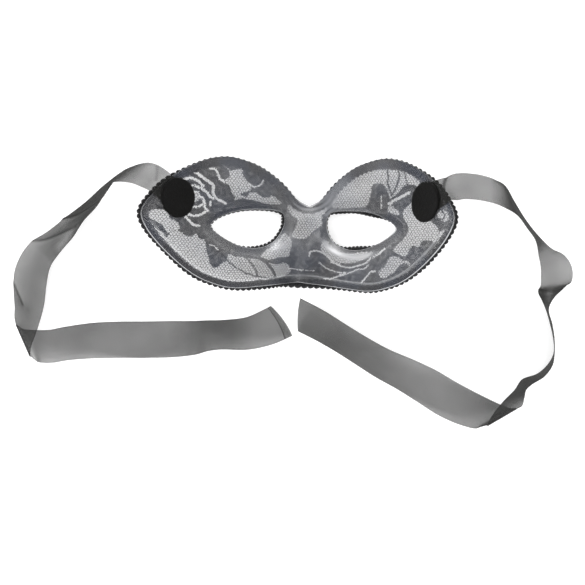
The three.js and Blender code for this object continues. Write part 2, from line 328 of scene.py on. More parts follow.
def set_mesh_points(piece, points):
    """Puts the piece's vertices there."""
    piece.data.vertices.foreach_set("co", np.ascontiguousarray(points, float).ravel())
    piece.data.update()


def put_on_table(piece, points):
    """Takes points in millimetres of the mask's own frame to metres on the table."""
    set_mesh_points(piece, (points + mask_place) * MM)


def new_grid(name, columns, rows):
    """A flat grid of cells, and how far along and across it each point lies, from 0 to 1."""
    bpy.ops.mesh.primitive_grid_add(x_subdivisions=columns, y_subdivisions=rows, size=2)
    piece = bpy.context.object
    piece.name = name
    along, across = ((mesh_points(piece)[:, :2] + 1) / 2).T
    return piece, along, across


def add_marks(piece, **marks):
    """Attributes for a material to read, each with one value for each vertex."""
    for name, values in marks.items():
        attribute = piece.data.attributes.new(name, "FLOAT", "POINT")
        attribute.data.foreach_set("value", values.astype(np.float32))


def pick(*pieces):
    """Selects these pieces alone, and makes the first of them active."""
    bpy.ops.object.select_all(action="DESELECT")
    for piece in pieces:
        piece.select_set(True)
    bpy.context.view_layer.objects.active = pieces[0]


def edit(piece, operator, **settings):
    """Runs an edit mode operator on the whole piece."""
    pick(piece)
    bpy.ops.object.mode_set(mode="EDIT")
    bpy.ops.mesh.select_all(action="SELECT")
    operator(**settings)
    bpy.ops.object.mode_set(mode="OBJECT")


def face_wearer(sheet):
    """Turns a sheet's faces up, to the wearer's side."""
    if sheet.data.polygons[0].normal.z < 0:
        edit(sheet, bpy.ops.mesh.flip_normals)


def apply_modifier(piece, kind, **settings):
    """Adds a modifier with these settings and applies it."""
    pick(piece)
    modifier = piece.modifiers.new(kind.lower(), kind)
    for name, value in settings.items():
        setattr(modifier, name, value)
    bpy.ops.object.modifier_apply(modifier=modifier.name)


# The rows of points go out from the eye hole to the outline, and lie closest at both.
outline_columns = 200
seam_columns = 40
edge_band = 6
from_eye = np.array([0, 0.4, 1, 1.8, 2.8, 3.8, 4.8, 6])
from_edge = np.array([6, 5.2, 4.7, 4.3, 4, 3.7, 3.3, 2.7, 2, 1.2, 0.5, 0])
middle_share = np.arange(1, 12) / 13
row_share = np.r_[from_eye * 0, middle_share, from_edge * 0 + 1]
row_offset = np.r_[from_eye, edge_band * (1 - 2 * middle_share), -from_edge]
half_edge = points_at(half_line, np.linspace(0, 1, outline_columns + 1))
seam_y = np.linspace(nose_edge_y, notch_y, seam_columns + 1)[1:]
outer_points = np.vstack([half_edge, np.c_[seam_y * 0, seam_y]])
reach = outer_points - eye_middle
inner_points = np.zeros_like(outer_points)
for a, b in zip(eye_ring[:-1], eye_ring[1:]):
    (from_x, from_y), (step_x, step_y) = a - eye_middle, b - a
    turn = reach[:, 0] * step_y - reach[:, 1] * step_x
    along_ray = (from_x * step_y - from_y * step_x) / turn
    along_edge = (from_x * reach[:, 1] - from_y * reach[:, 0]) / turn
    crossed = (along_ray > 0) & (along_edge >= -1e-9) & (along_edge <= 1 + 1e-9)
    inner_points[crossed] = (eye_middle + reach * along_ray[:, None])[crossed]
shell, along, across = new_grid("pressed_plastic", len(outer_points) - 1, len(row_share) - 1)
column = np.rint(along * (len(outer_points) - 1)).astype(int)
row = np.rint(across * (len(row_share) - 1)).astype(int)
length = np.linalg.norm(outer_points - inner_points, axis=1)[column]
squeeze = np.minimum(1, 0.45 * length / edge_band)
stop = row_share[row] * length + row_offset[row] * squeeze
flat = inner_points[column] + (outer_points - inner_points)[column] * (stop / length)[:, None]
set_mesh_points(shell, np.c_[flat, stop * 0])
edit(shell, bpy.ops.mesh.remove_doubles, threshold=1e-4)
apply_modifier(shell, "MIRROR", merge_threshold=1e-3)
x, y = mesh_points(shell)[:, :2].T
edge_gap = nearest_on(x, y, outline)[0]
eye_gap = nearest_on(np.abs(x), y, eye_ring)[0]
low_side = ease(-4, 8, -y)
fold_gap = 4
fold_height = 0.45
put_on_table(shell, off_sheet(x, y, fold_height * fade(edge_gap, fold_gap, 0.7) * low_side))
# Painted sheen and highlights: the plastic is made whiter and less clear below and above the right eye,
# beside the nose, on the right arch and over the right side, where light reflects in it.
by_right_eye = ease(7, 12, x) * (1 - ease(36, 46, x))
below_eye = 0.72 * fade(eye_gap, 3.8, 2.3) * (1 - ease(-8, -4, y)) * by_right_eye
above_eye = 0.4 * fade(eye_gap, 0.8, 1.5) * ease(3, 8, y) * by_right_eye
on_arch = swells(x, y, (0.45, 13, 16, 6, 7), (0.45, 21, 25, 8, 7))
right_side = swell(x, y, 0.1, 50, -2, 34, 30)
by_nose = swell(x, y, 0.52, -13.5, -10.5, 6.5, 5.5)
gloss_by_eye = (1 - ease(4, 10, eye_gap)) * (1 - ease(-6, 0, y))
gloss_on_notch = swell(x, y, 1, 0, 9, 14, 6)
gloss_below_brow = 0.2 * (1 - ease(16, 28, y))
add_marks(
    shell,
    gloss=np.maximum.reduce([gloss_by_eye, gloss_on_notch, gloss_below_brow]),
    whitening=fade(edge_gap, fold_gap, 0.45) * low_side,
    low_edge=low_side,
    haze=np.maximum.reduce([right_side, on_arch, by_nose, below_eye, above_eye]),
    bridge=swell(x, y, 1, 0.5, 12, 16, 7),
)
edit(shell, bpy.ops.mesh.normals_make_consistent)
face_wearer(shell)


def mark(tree, name):
    """One of the piece's attributes."""
    return put(tree, "ShaderNodeAttribute", attribute_name=name, give="Fac")


def noise(place, scale, detail, **named):
    """Soft noise over a place."""
    return put(place.tree, "ShaderNodeTexNoise", Vector=place, Scale=scale, Detail=detail, **named)


def blend(share, first, second):
    """From the first colour to the second."""
    return put(share.tree, "ShaderNodeMix", Factor=share, A=first, B=second, data_type="RGBA", give="Result")


def add_relief(shader, height, strength, distance):
    """Bumps on the surface, this many metres high."""
    bump = put(height.tree, "ShaderNodeBump", Strength=strength, Distance=distance, Height=height)
    feed(shader, Normal=bump)


def on_near_wall(cover):
    """A thin sheet has two walls. Its cover counts on the one that faces the eye alone."""
    return cover * (1 - put(cover.tree, "ShaderNodeNewGeometry", give="Backfacing"))


mottle = bpy.data.node_groups.new("handling_mottle", "ShaderNodeTree")
mottle.interface.new_socket(name="Place", in_out="INPUT", socket_type="NodeSocketVector")
for name, way in (("Fine", "INPUT"), ("Broad", "INPUT"), ("Mottle", "OUTPUT")):
    mottle.interface.new_socket(name=name, in_out=way, socket_type="NodeSocketFloat")
mottle_in = mottle.nodes.new("NodeGroupInput")
place, fine, broad = (Output(mottle_in.outputs[name]) for name in ("Place", "Fine", "Broad"))
feed(mottle.nodes.new("NodeGroupOutput"), noise(place, fine, 3) * 0.5 + noise(place, broad, 2) * 0.5)


def mottled(place, fine, broad):
    """The mottle of handling, with these scales for its fine and its broad clouds."""
    return put(place.tree, "ShaderNodeGroup", node_tree=mottle, Place=place, Fine=fine, Broad=broad)


clear_plastic, tree, shader = new_material(
    "clear_milky_plastic", Coat_Roughness=0.34, Coat_IOR=2.1, Specular_IOR_Level=1
)
place = put(tree, "ShaderNodeTexCoord", give="Object")
cloud = mottled(place, 700, 45)
# Curved streaks round the notch: relief of the drawn folds, and painted highlight lines that whiten the
# plastic.
notch_mm = put(tree, "ShaderNodeMapping", Vector=place, Location=(-12.5, -59, 0), Scale=(1000, 1000, 1000))
streaks = put(
    tree, "ShaderNodeTexWave", Vector=notch_mm, Scale=0.11, Distortion=3, Detail=2, Detail_Scale=0.15,
    wave_type="RINGS", rings_direction="Z", give="Fac",
)
drawn = mark(tree, "bridge") * (streaks * 0.8 + 0.45)
# The painted sheen and the painted streak highlights make the plastic whiter and less clear, on top of its
# own milky mottle.
cloudy = calculate("MINIMUM", drawn * 0.55 + mark(tree, "haze"), 1)
# Along the fold near the lower edge the plastic whitens: stress whitening, with a painted highlight on the
# fold.
white_fold = mark(tree, "whitening")
milk = remap(cloud, 0.3, 0.7, 0.3, 0.38) + white_fold * 0.07 + cloudy * 0.36
upright = 1 - put(tree, "ShaderNodeLayerWeight", give="Facing")
slant = calculate("SQRT", (1 - upright * upright) * (-1 / plastic_ior**2) + 1)
tinted = blend(remap(noise(place, 55, 1), 0.42, 0.62), (0.067, 0.068, 0.077), (0.062, 0.074, 0.106))
clouded = blend(cloudy, tinted, (0.355, 0.363, 0.385))
polished = mark(tree, "gloss")
feed(
    shader,
    Base_Color=blend(white_fold, clouded, (0.4, 0.41, 0.43)),
    Roughness=remap(polished, 0, 1, 0.5, 0.25),
    Coat_Weight=remap(polished, 0, 1, 0.2, 1),
    Alpha=on_near_wall(1 - (1 - milk) ** (1 / slant)),
)
add_relief(shader, drawn * 0.8 + cloud, 0.25, 0.0004)
cut_edge, tree, shader = new_material("frosted_cut_edge", Base_Color=(0.7, 0.71, 0.73), Roughness=0.5)
nicks = mottled(put(tree, "ShaderNodeTexCoord", give="Object"), 1500, 200)
# Painted glint: the cut edge is whiter and less clear along the lower edge, where the lamps catch it.
feed(shader, Alpha=(mark(tree, "low_edge") * 0.5 + 0.3) * (nicks * 0.6 + 0.6))
shell.data.materials.append(clear_plastic)
shell.data.materials.append(cut_edge)
apply_modifier(
    shell, "SOLIDIFY", thickness=plastic_thickness * MM, offset=0, use_even_offset=True, material_offset_rim=1
)
shell.data.shade_smooth()
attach(shell, "root")
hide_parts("shell")


# Lace. One piece of black machine lace, a fine six-sided net with roses, leaves and stems
# woven close, glued to the front of the plastic and shaped to it. Rows of open stitches
# draw the petals.
lace_middle = -0.85
lace_thickness = 0.25
lace_cell = 0.5
across_cells = 350
up_cells = 156
lace_centre_y = 1.5
map_reach = 100
net_wide = 1.65
net_tall = 2.4
thread_edge = -0.6
thread_softness = 0.25
# Fields where the net lies open, then leaves woven close, then stems and rows of open stitches
# with their widths. All are traced in millimetres on the flat pattern.
net_windows = [
    [(-46, 34), (-44, 32), (-38, 33), (-37.5, 30), (-36, 27.5), (-34, 25), (-32.5, 23), (-34.5, 21),
     (-37.5, 20), (-41, 17.5), (-43.5, 20.5), (-44.5, 23.5), (-48.5, 25.5), (-47, 26.5), (-44.5, 28.5),
     (-44.5, 31.5)],
    [(-41.5, 15.5), (-40, 18), (-37.5, 18.5), (-35, 17.5), (-34, 20), (-31, 20.5), (-28.5, 19.5),
     (-26.5, 18), (-23, 18), (-20.5, 19), (-18, 17), (-15.5, 14.5), (-21.5, 14), (-26.5, 15),
     (-30.5, 16), (-34.5, 16.5), (-37.5, 17)],
    [(-83, 4), (-81, 6), (-76, 6), (-74, 3.5), (-73, 1.5), (-70.5, 0.5), (-68.5, -3.5), (-72, -5.5),
     (-74, -6.5), (-75.5, -4), (-77.5, -2.5), (-80, -0.5), (-83.5, 2)],
    [(-82.5, -1), (-81, -2), (-79.5, -4.5), (-77.5, -6), (-75.5, -7), (-74, -9), (-72.5, -6), (-69.5, -5),
     (-67, -6), (-65, -7.5), (-62.5, -7.5), (-60, -6), (-58.5, -8.5), (-56, -9), (-54.5, -15), (-53, -19.5),
     (-52, -23), (-50, -25), (-47.5, -24), (-44, -20), (-40.5, -23), (-33.5, -27.5), (-25.5, -30.5),
     (-35.5, -35), (-43.5, -34), (-50.5, -32), (-57, -29), (-62.5, -25), (-67.5, -21), (-73, -15),
     (-78, -9.5)],
    [(-42.5, -16.5), (-39, -18), (-35, -18), (-31.5, -18.5), (-27.5, -19), (-24, -19), (-20.5, -20.5),
     (-16, -21.5), (-10, -20.5), (-7, -22), (-5.5, -25), (-11.5, -29), (-18.5, -30.5), (-26.5, -30),
     (-34, -27), (-39, -24), (-43, -20)],
    [(-24.5, -17), (-21, -13.5), (-17, -8), (-12.5, -3.5), (-9.5, -5), (-7, -9), (-7.5, -13), (-8, -16.5),
     (-10, -17), (-15, -17.5), (-18.5, -19), (-22, -18.5)],
    [(-12, 13), (-7.5, 12.5), (0.5, 9), (7.5, 12), (11, 13), (10.5, 8), (9.5, 5), (8.5, 1.5), (5, -1),
     (2, -4), (-1, -6.5), (-5.5, -6), (-7.5, -5), (-6.5, -1), (-5.5, 4), (-8.5, 7), (-11, 10.5)],
    [(56.5, 6.5), (56.5, 9.5), (59, 12.5), (63, 15), (67.5, 7.5), (71.5, 3.5), (75, 1), (77.5, -3),
     (77, -5.5), (75.5, -8.5), (70, -7.5), (67.5, -8.5), (66.5, -11), (63, -10.5), (60.5, -13.5),
     (59, -16), (55, -15), (51.5, -12.5), (54.5, -9), (57, -6.5), (59.5, -3), (60, -1), (59, 2.5)],
    [(51.5, -16), (54, -16.5), (57.5, -18.5), (61, -19.5), (61.5, -21.5), (58, -20), (55, -22), (53, -25),
     (50, -26.5), (48, -28), (45, -28), (43.5, -25), (45.5, -23), (48, -20), (49, -17.5)],
    [(75, 1), (77.5, -2.5), (81.5, -2), (83.5, 0.5), (84, -3), (79.5, -8), (75, -13.5), (72.5, -16),
     (76.5, -9), (77.5, -5)],
    [(14.5, 13), (16, 18), (18.5, 23), (23, 27.5), (28, 30), (32, 32.5), (37.5, 33.5), (45.5, 33.5),
     (51.5, 33), (56.5, 31.5), (60.5, 29.5), (64.5, 26.5), (67, 23.5), (64.5, 22.5), (61.5, 23.5),
     (58, 24.5), (55.5, 23.5), (54, 21.5), (51, 19), (48.5, 17.5), (47, 20), (45.5, 24), (42.5, 26),
     (39, 26), (37, 24.5), (37, 21.5), (36, 17.5), (34.5, 13.5), (28, 13), (22.5, 12.5)],
    [(46, 12.5), (49, 13.5), (52.5, 11), (54.5, 8), (52, 8), (48, 10)],
    [(76.5, 7), (79, 8.5), (81.5, 7.5), (83, 5.5), (82, 2.5), (79, 2.5), (77, 4.5)],
    [(9.5, -12.5), (10, -8.5), (13.5, -7.5), (16.5, -11.5), (21, -14), (28, -15), (33.5, -13.5),
     (39.5, -11.5), (42.5, -11.5), (39, -15), (34, -18), (27, -20), (20, -19.5), (14, -16.5)],
    [(-63.5, 17), (-61.5, 18), (-59.5, 17.5), (-60, 14), (-62, 12.5), (-63.5, 13.5)],
]
leaves = [
    [(-79.5, -1), (-77, -2), (-75.5, -4), (-74, -7.5), (-74.5, -9.5), (-76.5, -6), (-78.5, -5), (-80, -3.5)],
    [(-55.5, -9), (-53, -11), (-50, -13), (-47, -15), (-44.5, -15.5), (-43, -18), (-44, -21),
     (-46.5, -22.5), (-49.5, -24.5), (-51.5, -22.5), (-52.5, -19), (-54, -15)],
    [(-23.5, -19), (-19.5, -20.5), (-14.5, -20), (-10, -17.5), (-9, -18.5), (-10.5, -20.5), (-15.5, -21.5),
     (-20.5, -20.5)],
    [(37, 24.5), (40, 26), (43, 26), (45.5, 24), (47, 20.5), (48, 18), (47.5, 14.5), (47, 9.5),
     (40.5, 9), (35, 9.5), (34.5, 13.5), (36, 16.5), (37, 20)],
    [(54, 21), (55.5, 23), (58.5, 24.5), (61.5, 24.5), (64.5, 22.5), (63.5, 20), (60, 20), (57, 19),
     (53.5, 17.5), (50.5, 16.5)],
    [(50.5, 13), (53.5, 14.5), (57.5, 16), (62, 18), (64.5, 20), (64, 16.5), (60, 14), (57, 12), (53, 10.5)],
    [(60, -15), (61, -11.5), (63, -10.5), (65, -11), (66.5, -13), (67, -9.5), (68.5, -7.5), (71.5, -7.5),
     (74.5, -9.5), (76, -11), (74, -14), (71, -16), (67.5, -17.5), (64.5, -19.5), (62.5, -22),
     (61.5, -18.5)],
    [(54, -23), (56, -21), (59, -20), (61.5, -21.5), (64, -22), (61, -23.5), (57.5, -26), (54, -27.5),
     (51.5, -28.5), (52.5, -25)],
    [(-36.5, 32.5), (-32.5, 34), (-28, 33.5), (-25.5, 30), (-27, 26.5), (-30, 24.5), (-33, 25.5),
     (-35.5, 28)],
]
stems = [
    (0.7, [(-43.5, -20), (-40.5, -22.5), (-38.5, -24), (-35.5, -25.5), (-31.5, -27.5), (-27, -28.5),
           (-23.5, -29), (-18.5, -29.5), (-15, -28.5)]),
    (0.8, [(-33.5, -18), (-31, -20), (-28.5, -23), (-27, -25.5), (-26, -28)]),
    (1.3, [(-25, -18.5), (-21.5, -20.5), (-19, -23), (-17, -25), (-15, -28.5)]),
    (0.7, [(46.5, 33), (47, 29), (46.5, 26), (48, 22.5), (49, 19)]),
    (0.8, [(53, 32.5), (53.5, 29.5), (52.5, 26), (51, 22), (49, 19)]),
    (0.6, [(56.5, 31.5), (57.5, 27.5), (58.5, 24.5)]),
    (1.2, [(75, 2.5), (77, 0), (78, -2.5)]),
    (0.7, [(76.5, 4.5), (79.5, 3.5), (80.5, 6), (79, 8)]),
    (0.8, [(78.5, -1.5), (81, 0.5), (79, 2.5), (77.5, 1.5)]),
]
open_rows = [
    (2.0, [(-62, 29.5), (-58.5, 27), (-55.5, 25), (-53, 23), (-53, 18.5)]),
    (1.8, [(-68, 24.5), (-64.5, 26), (-60.5, 24.5), (-58, 22)]),
    (1.9, [(-61.5, 21.5), (-58.5, 20.5), (-56, 18.5), (-54, 16), (-52.5, 15.5)]),
    (1.8, [(-52.5, 17.5), (-50, 15), (-47.5, 14), (-46, 13)]),
    (1.1, [(-64.5, 21.5), (-62, 22)]),
    (1.2, [(-64, 18.5), (-60.5, 18.5)]),
    (1.6, [(-59.5, 16), (-58, 15), (-57, 12.5), (-56.5, 9.5), (-55, 8)]),
    (1.4, [(-63, 9.5), (-60, 10), (-58, 11.5)]),
    (1.6, [(-64.5, 5), (-61.5, 4.5), (-58.5, 5.5), (-56, 7.5)]),
    (1.6, [(-66, 3.5), (-64, 1.5), (-61.5, -1), (-59, -1)]),
    (1.2, [(-54, 13.5), (-54, 11)]),
    (1.5, [(-54.5, 32.5), (-52, 32), (-50.5, 29.5), (-49.5, 26.5), (-48, 26)]),
    (1.1, [(-34, 25), (-30.5, 23.5), (-27.5, 25), (-26, 27)]),
    (1.0, [(-21.5, 25.5), (-18.5, 23.5)]),
    (0.8, [(-53, -11.5), (-50.5, -12.5), (-48.5, -14.5)]),
    (0.9, [(43, 19), (43.5, 12)]),
    (2.2, [(48, 14.5), (51.5, 16.5), (55, 18), (59.5, 20)]),
    (1.2, [(3, -16), (3.5, -13.5), (7, -13), (11, -14.5), (15.5, -18), (20, -21), (26, -22.5), (31, -21.5),
           (35.5, -20), (38.5, -17)]),
    (1.0, [(15.5, -19.5), (21, -20.5)]),
    (0.9, [(9, -19.5), (12.5, -22.5), (16, -24), (20.5, -25.5), (24.5, -25.5)]),
    (1.0, [(21.5, -26.5), (27, -25.5), (31.5, -23.5), (35, -23), (37.5, -21)]),
    (1.0, [(12.5, -29), (16.5, -29), (20.5, -27.5), (24, -26.5)]),
    (1.1, [(34, -31), (36.5, -28), (39.5, -24.5), (41.5, -24.5)]),
    (1.0, [(40, -16.5), (43.5, -14.5), (46.5, -12)]),
    (0.6, [(-7, -23.5), (-0.5, -24), (7, -24.5)]),
]

lace, along, up = new_grid("flower_lace", across_cells, up_cells)
flat_x = (along - 0.5) * across_cells * lace_cell
flat_y = (up - 0.5) * up_cells * lace_cell + lace_centre_y
set_mesh_points(lace, np.c_[flat_x, flat_y, flat_x * 0])


def select_faces(piece, chosen):
    """Goes to edit mode with these faces alone selected."""
    pick(piece)
    bpy.ops.object.mode_set(mode="EDIT")
    bpy.ops.mesh.select_mode(type="FACE")
    bpy.ops.mesh.select_all(action="DESELECT")
    bpy.ops.object.mode_set(mode="OBJECT")
    piece.data.polygons.foreach_set("select", chosen)
    bpy.ops.object.mode_set(mode="EDIT")


centre_x, centre_y = np.array([polygon.center[:2] for polygon in lace.data.polygons]).T
in_eye = is_inside(np.abs(centre_x), centre_y, eye_ring)
select_faces(lace, ~is_inside(centre_x, centre_y, outline) | in_eye)
bpy.ops.mesh.delete(type="FACE")
bpy.ops.mesh.select_mode(type="VERT")
bpy.ops.mesh.select_all(action="DESELECT")
bpy.ops.mesh.select_non_manifold()
bpy.ops.object.mode_set(mode="OBJECT")
on_edge = np.zeros(len(lace.data.vertices), bool)
lace.data.vertices.foreach_get("select", on_edge)
flat = mesh_points(lace)[:, :2]
edge_x, edge_y = flat[on_edge].T
to_outline, outline_spot = nearest_on(edge_x, edge_y, outline)
to_eye, eye_spot = nearest_on(np.abs(edge_x), edge_y, eye_ring)
eye_spot[:, 0] *= np.sign(edge_x)
flat[on_edge] = np.where((to_outline < to_eye)[:, None], outline_spot, eye_spot)
x, y = flat.T


def gap_to(points):
    """How far each point of the lace lies from a line of stitches."""
    return nearest_on(x, y, curve_through(points, per_span=4))[0]


def depth_in(shape):
    """How deep each point of the lace lies inside a closed shape, negative outside it."""
    line = curve_through(shape, closed=True, per_span=4)
    return nearest_on(x, y, line)[0] * np.where(is_inside(x, y, line), 1, -1)


cloth = np.full(len(x), 3.0)
for window in net_windows:
    cloth = np.minimum(cloth, -depth_in(window))
for leaf in leaves:
    cloth = np.maximum(cloth, depth_in(leaf))
for width, points in stems:
    cloth = np.maximum(cloth, 0.7 * width - gap_to(points))
border = nearest_on(x, y, outline)[0]
border_width = np.where(y < 8, 3.9, 3.0) - swells(x, y, (5, 2, 14, 22, 15), (2, 20, 24, 9, 10))
cloth = np.maximum(cloth, border_width - border)
open_row = np.full(len(x), -2.0)
for width, points in open_rows:
    row_gap = gap_to(points)
    cloth = np.minimum(cloth, row_gap - 0.38 * width)
    open_row = np.maximum(open_row, 0.45 * width - row_gap)
cloth = np.clip(cloth, -2, 2)
closer_net = swells(
    x, y, (0.13, -24, -25, 20, 6), (0.04, -60, -10, 24, 20), (0.05, -8, 3, 16, 12),
    (-0.08, 66, 0, 16, 16), (-0.04, 30, 27, 16, 9),
)
thin_border = 0.12 * fade(border, 0, 3) * np.maximum(ease(5, 20, x), ease(10, 20, -y))
thin_cloth = swell(x, y, 0.07, 58, -10, 34, 24) + thin_border
add_marks(lace, cloth_depth=cloth, open_row=open_row, closer_net=closer_net, thin_cloth=thin_cloth)


def add_uv(piece, name, u, v):
    """A UV map from one pair of values for each vertex."""
    corner = np.zeros(len(piece.data.loops), int)
    piece.data.loops.foreach_get("vertex_index", corner)
    layer = piece.data.uv_layers.new(name=name)
    layer.data.foreach_set("uv", np.stack([u[corner], v[corner]], axis=1).ravel())


add_uv(lace, "flat_cloth", (x + map_reach) / (2 * map_reach), (y + map_reach) / (2 * map_reach))
put_on_table(lace, off_sheet(x, y, lace_middle - 0.1 * ease(-0.3, 0.3, cloth)))
face_wearer(lace)

black_lace, tree, shader = new_material(
    "black_lace", Base_Color=(0.012, 0.012, 0.014), Roughness=0.75, Sheen_Weight=0.3, Sheen_Roughness=0.4
)
flat_map = put(tree, "ShaderNodeUVMap", uv_map="flat_cloth")
cloth_mm = put(tree, "ShaderNodeVectorMath", flat_map, Scale=2 * map_reach, operation="SCALE")
pulled = noise(cloth_mm, 0.35, 1, give="Color")
uneven_mm = put(tree, "ShaderNodeVectorMath", pulled, (1.6, 1.6, 0), cloth_mm, operation="MULTIPLY_ADD")
net_x, net_y = parts(uneven_mm)[:2]
turn_x = net_x * (2 * math.pi / net_wide)
turn_y = net_y * (2 * math.pi / net_tall)
slanting = calculate("COSINE", turn_x + turn_y) + calculate("COSINE", turn_x - turn_y)
hill = slanting + calculate("COSINE", turn_y * 2) * 0.9
threads = remap(hill, thread_edge, thread_edge + thread_softness, 1, 0, interpolation_type="SMOOTHSTEP")
beside_row = remap(mark(tree, "open_row"), -0.1, 0.1, 1, 0.25)
net_cover = (threads * 0.36 + 0.22 + mark(tree, "closer_net")) * beside_row
filling = put(
    tree, "ShaderNodeTexWave", Vector=cloth_mm, Scale=0.45, Distortion=1.5, Detail=1,
    bands_direction="DIAGONAL", give="Fac",
)
ragged = noise(cloth_mm, 1.3, 1) * 2.2 - 1.1
woven = remap(mark(tree, "cloth_depth") + ragged, -0.12, 0.12)
closeness = remap(noise(cloth_mm, 0.5, 2), 0.35, 0.65, 0.8, 0.96) - mark(tree, "thin_cloth")
cover = calculate("MAXIMUM", net_cover, woven * (filling * 0.12 + closeness))
feed(shader, Alpha=on_near_wall(calculate("MINIMUM", cover, 1)))
add_relief(shader, filling, 0.6, 0.0002)
lace.data.materials.append(black_lace)
apply_modifier(lace, "SOLIDIFY", thickness=lace_thickness * MM, offset=0)
lace.data.shade_smooth()
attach(lace, "root")
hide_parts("lace")


# Gimp braid. One thick wrapped cord laid to and fro in round loops and caught along the middle
# by two thin cords, glued to the front over the edge of the lace. The loops show as a
# scalloped edge round the outline and in the eye holes.
braid_level = -2.35
loop_flatness = 0.85
catch_radius = 0.34
catch_level = -0.75
hold_in_hole = 0.5


def new_strand(path, sides, radius, flatness, period):
    """One loop of cord, a flat sheet rolled round a path that repeats after a period."""
    strand, along, around = new_grid("gimp_strand", len(path) - 1, sides)
    strand.data.uv_layers[0].name = "cord"
    step = np.rint(along * (len(path) - 1)).astype(int)
    onward = np.vstack([path[1:], path[1] + period]) - np.vstack([path[-2] - period, path[:-1]])
    up = np.array([0, 0, 1.0])
    side = unit(np.cross(onward, up))
    angle = around[:, None] * 2 * math.pi
    around_path = side[step] * np.cos(angle) + up * np.sin(angle) * flatness
    set_mesh_points(strand, path[step] + radius * around_path)
    return strand


def braid_line(curve, inset, hand):
    """Where the middle of a braid runs on the flat pattern, and which way is out."""
    shares = np.linspace(0, 1, 1441)
    line = points_at(curve, shares)
    along = np.roll(line[:-1], -1, axis=0) - np.roll(line[:-1], 1, axis=0)
    along = unit(np.vstack([along, along[:1]]))
    out = np.stack([-along[:, 1] * hand, along[:, 0]], axis=1)
    return shares, line * (hand, 1) - out * inset(line)[:, None], out


def wrap(points, length, lie):
    """Bends a straight braid round the mask. x runs along it, y across and z off the sheet."""
    shares, middle, out = lie
    share = (points[:, 0] / length) % 1
    base = between(share, shares, middle)
    outward = unit(between(share, shares, out))
    stretch = np.linalg.norm(on_sheet(*(base + outward).T) - on_sheet(*base.T), axis=1)
    spot = base + outward * (points[:, 1] / stretch)[:, None]
    side = np.where(spot[:, 0] < 0, -1, 1)
    gap, edge = nearest_on(spot[:, 0] * side, spot[:, 1], eye_ring)
    gap = np.where(is_inside(spot[:, 0] * side, spot[:, 1], eye_ring), gap, 0)
    edge[:, 0] *= side
    away = unit(edge - spot)
    held = np.where((gap > 0)[:, None], edge + away * hold_in_hole, spot)
    slope = unit(on_sheet(*(held + away * 0.5).T) - on_sheet(*held.T))
    past_edge = slope * np.where(gap > 0, gap + hold_in_hole, 0)[:, None]
    return off_sheet(*held.T, braid_level + points[:, 2]) - past_edge


black_gimp, tree, shader = new_material(
    "black_gimp", Roughness=0.55, Sheen_Weight=0.08, Sheen_Roughness=0.35, Specular_IOR_Level=0.3
)
cord_map = put(tree, "ShaderNodeUVMap", uv_map="cord")
cord_turns = put(tree, "ShaderNodeMapping", Vector=cord_map, Scale=(2 * math.pi, 0.4 * math.pi, 1))
wrapping = put(
    tree, "ShaderNodeTexWave", Vector=cord_turns, Scale=1, Distortion=0.4,
    bands_direction="DIAGONAL", give="Fac",
)
shade = (wrapping * 0.6 + 0.5) * mottled(put(tree, "ShaderNodeTexCoord", give="Object"), 2500, 150)
feed(shader, Base_Color=blend(shade, (0.004, 0.004, 0.005), (0.022, 0.022, 0.024)))
add_relief(shader, wrapping, 0.5, 0.0002)


def gimp_braid(name, node, curve, inset, hand, width, wanted_pitch, cord_radius):
    """A whole braid: a loop and two lengths of catch cord, repeated, joined and bent round the mask."""
    lie = braid_line(curve, inset, hand)
    length = run_along(lie[1])[-1]
    count = round(length / wanted_pitch)
    pitch = length / count
    period = np.array([pitch, 0, 0])
    turns = np.linspace(0, 2 * math.pi, 13)
    loop_run = pitch * turns / (2 * math.pi) + 0.12 * pitch * np.sin(2 * turns)
    loop_path = np.c_[loop_run, (width / 2 - cord_radius) * np.cos(turns), turns * 0]
    strands = [new_strand(loop_path, 6, cord_radius, loop_flatness, period)]
    turns = np.linspace(0, 2 * math.pi, 4)
    for side in (-1, 1):
        sway = 0.12 * width * side + 0.15 * np.sin(turns)
        catch_path = np.c_[pitch * turns / (2 * math.pi), sway, catch_level + 0.1 * np.cos(2 * turns)]
        strands.append(new_strand(catch_path, 4, catch_radius, 1, period))
    for strand in strands:
        apply_modifier(
            strand, "ARRAY", count=count, use_relative_offset=False, use_constant_offset=True,
            constant_offset_displace=tuple(period), use_merge_vertices=True, merge_threshold=0.001,
        )
    pick(*strands)
    bpy.ops.object.join()
    braid = strands[0]
    braid.name = name
    put_on_table(braid, wrap(mesh_points(braid), length, lie))
    edit(braid, bpy.ops.mesh.remove_doubles, threshold=3e-6)
    edit(braid, bpy.ops.mesh.normals_make_consistent)
    braid.data.materials.append(black_gimp)
    braid.data.shade_smooth()
    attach(braid, "root")
    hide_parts(node)


def outline_inset(points):
    """How far in from the cut edge the braid's middle is glued."""
    px, py = points.T
    farther_out = swells(
        px, py, (2.3, 0, -32, 16, 14), (0.7, -28, -32, 12, 8), (1.4, -86, 6, 18, 26),
        (0.8, -62, -28, 20, 12), (0.8, 86, 4, 12, 14), (0.6, 70, -20, 18, 12),
    )
    return 2.4 - farther_out - swells(np.abs(px), py, (0.8, 76, 22, 12, 10), (-0.4, 38, 38, 24, 16))


gimp_braid(
    "gimp_outline", "braid_outer", outline, outline_inset, 1, width=6.2, wanted_pitch=2.95, cord_radius=0.85
)
seen_by_left_eye = [(1.8, 14, -4, 9, 13), (1.4, 13, 6, 4, 5), (1.4, 25, -13.5, 10, 5), (1.0, 54, -1, 4, 4)]
seen_by_right_eye = [(1.0, 20, 9.5, 6, 3), (1.9, 37, 8.5, 9, 4), (2.6, 30.5, -13, 9, 4)]
for side, hand, seen in (("left", -1, seen_by_left_eye), ("right", 1, seen_by_right_eye)):
    gimp_braid(
        f"gimp_eye_{side}", f"braid_eye_{side}", eye_line,
        lambda points: swells(*points.T, *seen) - 2.5,
        hand, width=4.3, wanted_pitch=2.75, cord_radius=0.75,
    )


